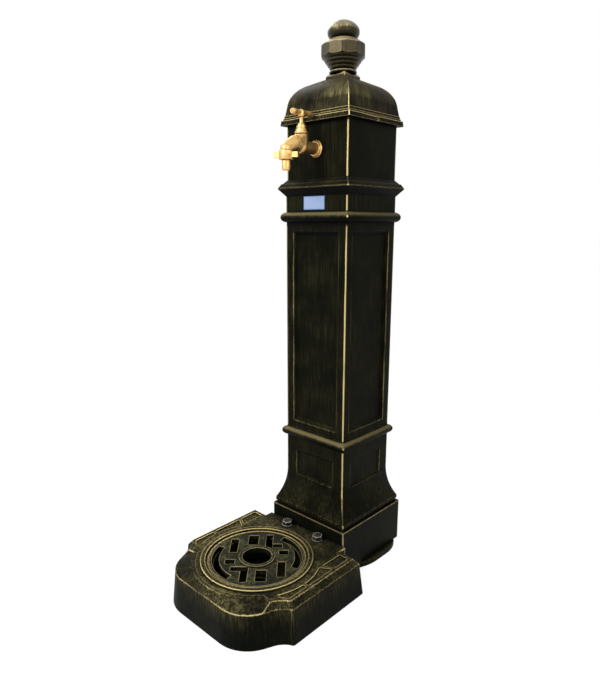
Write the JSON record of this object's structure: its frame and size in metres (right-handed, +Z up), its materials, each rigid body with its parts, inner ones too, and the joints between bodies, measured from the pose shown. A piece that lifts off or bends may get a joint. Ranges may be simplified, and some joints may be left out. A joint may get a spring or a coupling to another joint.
{
  "type": "garden standpipe",
  "caption": "Square cast garden standpipe with moulded pedestal, panelled shaft, vaulted cap and finial, a brass bib tap with hose union, and a lobed drain tray with lift-out grate.",
  "frame": {"origin": "on the ground under the middle of the part's box", "axes": "+Z up, the tap and the tray face -Y, +X to the right seen from the front"},
  "size_m": [0.29, 0.47, 1],
  "materials": {
    "bronzed_casting": "dark antique bronze paint, edges rubbed with gold",
    "brass": "polished cast brass",
    "zinc_steel": "zinc plated",
    "black_steel": "black oxide",
    "rubber": "matt black",
    "fibre": "matt red fibre",
    "packing": "braided packing",
    "copper": "drawn copper"
  },
  "bodies": {
    "standpipe": {"base_tray": "bronzed_casting", "tray_bolts": "zinc_steel", "tray_washers": "zinc_steel", "sole_plate": "bronzed_casting", "foot_bolts": "zinc_steel", "foot_nuts": "zinc_steel", "pedestal": "bronzed_casting", "shaft": "bronzed_casting", "joint_bolts": "zinc_steel", "joint_nuts": "zinc_steel", "head": "bronzed_casting", "cap": "bronzed_casting", "cap_screws": "black_steel", "finial": "bronzed_casting", "finial_stud": "zinc_steel", "finial_nut": "zinc_steel", "wall_flange": "brass", "tap_body": "brass", "bonnet_washer": "fibre", "bonnet": "brass", "gland_packing": "packing", "gland_nut": "brass", "union_washer": "rubber", "hose_tail": "brass", "tap_elbow": "brass", "elbow_screws": "zinc_steel", "riser_pipe": "copper", "pipe_clip": "zinc_steel", "clip_screws": "zinc_steel", "supply_elbow": "brass", "supply_pipe": "brass", "supply_nuts": "brass"},
    "handle": {"spindle": "brass", "tee_handle": "brass", "handle_screw": "brass"},
    "valve": {"valve_carrier": "brass", "tap_washer": "rubber", "washer_nut": "brass"},
    "union": {"union_nut": "brass"},
    "grate": {"drain_grate": "bronzed_casting"}
  },
  "joints": [
    {"name": "handle_turn", "type": "hinge", "parent": "standpipe", "child": "handle", "pos_m": [0, 0.014, 0.8375], "axis": [0, 0, 1], "range_deg": [0, 720]},
    {"name": "valve_lift", "type": "slide", "parent": "standpipe", "child": "valve", "axis": [0, 0, 1], "range_m": [0, 0.004]},
    {"name": "union_spin", "type": "hinge", "parent": "standpipe", "child": "union", "pos_m": [0, -0.0225, 0.76785], "axis": [0, 0, 1], "continuous": true},
    {"name": "grate_lift", "type": "slide", "parent": "standpipe", "child": "grate", "axis": [0, 0, 1], "range_m": [0, 0.06]}
  ],
  "couplings": [
    {"joint": "valve_lift", "follows": "handle_turn", "m_per_rad": 0.000318}
  ]
}
